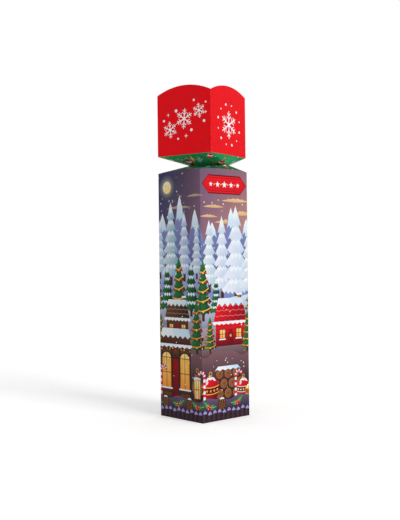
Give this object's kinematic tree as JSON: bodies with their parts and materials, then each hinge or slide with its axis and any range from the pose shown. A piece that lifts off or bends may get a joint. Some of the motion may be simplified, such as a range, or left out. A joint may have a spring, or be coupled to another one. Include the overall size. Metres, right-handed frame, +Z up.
{
  "type": "christmas cracker",
  "caption": "Tall square folded-card christmas cracker that stands on its base, with a pinched tear-off neck, a scalloped flared top and a filling of wrapped sweets.",
  "frame": {"origin": "centre of the flat base, on the floor", "axes": "+Z up the body to the flare; -Y the front panel, +X the right panel; both show in the picture"},
  "size_m": [0.0734, 0.0734, 0.309],
  "materials": {
    "printed_body": "satin",
    "green_neck": "satin",
    "red_flare": "satin",
    "plain_board": "matte",
    "snap_card": "matte",
    "gold_wrap": "gloss",
    "red_wrap": "gloss",
    "green_wrap": "gloss",
    "chocolate": "satin",
    "tissue": "matte",
    "motto_paper": "matte",
    "band_paper": "satin"
  },
  "bodies": {
    "carton": {"front_panel": "printed_body", "right_panel": "printed_body", "back_panel": "printed_body", "left_panel": "printed_body", "side_seam_flap": "plain_board", "lower_neck_front": "green_neck", "lower_neck_right": "green_neck", "lower_neck_back": "green_neck", "lower_neck_left": "green_neck", "lower_gusset_front_left": "green_neck", "lower_gusset_front_right": "green_neck", "lower_gusset_back_right": "green_neck", "lower_gusset_back_left": "green_neck", "snap_lower_strip": "snap_card", "snap_sleeve": "snap_card", "sweet_wrapper_01": "gold_wrap", "sweet_wrapper_02": "red_wrap", "sweet_wrapper_03": "green_wrap", "sweet_wrapper_04": "gold_wrap", "sweet_wrapper_05": "red_wrap", "sweet_wrapper_06": "green_wrap", "sweet_wrapper_07": "gold_wrap", "sweet_wrapper_08": "red_wrap", "sweet_wrapper_09": "green_wrap", "sweet_wrapper_10": "gold_wrap", "sweet_wrapper_11": "red_wrap", "sweet_wrapper_12": "green_wrap", "chocolates": "chocolate", "paper_crown": "tissue", "motto_slip": "motto_paper", "motto_band": "band_paper"},
    "top": {"upper_neck_front": "green_neck", "upper_neck_right": "green_neck", "upper_neck_back": "green_neck", "upper_neck_left": "green_neck", "upper_gusset_front_left": "green_neck", "upper_gusset_front_right": "green_neck", "upper_gusset_back_right": "green_neck", "upper_gusset_back_left": "green_neck", "flare_front": "red_flare", "flare_right": "red_flare", "flare_back": "red_flare", "flare_left": "red_flare", "flare_seam_flap": "plain_board", "snap_upper_strip": "snap_card"},
    "closing_flap": {"bottom_flap": "plain_board"},
    "tongue": {"tuck_tongue": "plain_board"},
    "left_dust_flap": {"dust_flap_left": "plain_board"},
    "right_dust_flap": {"dust_flap_right": "plain_board"}
  },
  "joints": [
    {"name": "top_pull", "type": "slide", "parent": "carton", "child": "top", "axis": [0, 0, 1], "range_m": [0, 0.08]},
    {"name": "flap_hinge", "type": "hinge", "parent": "carton", "child": "closing_flap", "pos_m": [0, 0.0297, 0.0003], "axis": [1, 0, 0], "range_deg": [0, 105]},
    {"name": "tongue_fold", "type": "hinge", "parent": "closing_flap", "child": "tongue", "pos_m": [0, -0.0282, 0.0003], "axis": [1, 0, 0], "range_deg": [-40, 0]},
    {"name": "left_dust_fold", "type": "hinge", "parent": "carton", "child": "left_dust_flap", "pos_m": [-0.02905, 0, 0.0011], "axis": [0, 1, 0], "range_deg": [0, 40]},
    {"name": "right_dust_fold", "type": "hinge", "parent": "carton", "child": "right_dust_flap", "pos_m": [0.02905, 0, 0.0011], "axis": [0, -1, 0], "range_deg": [0, 40]}
  ],
  "couplings": [
    {"joint": "tongue_fold", "follows": "flap_hinge", "ratio": -0.35},
    {"joint": "left_dust_fold", "follows": "flap_hinge", "ratio": 0.35},
    {"joint": "right_dust_fold", "follows": "flap_hinge", "ratio": 0.35}
  ]
}
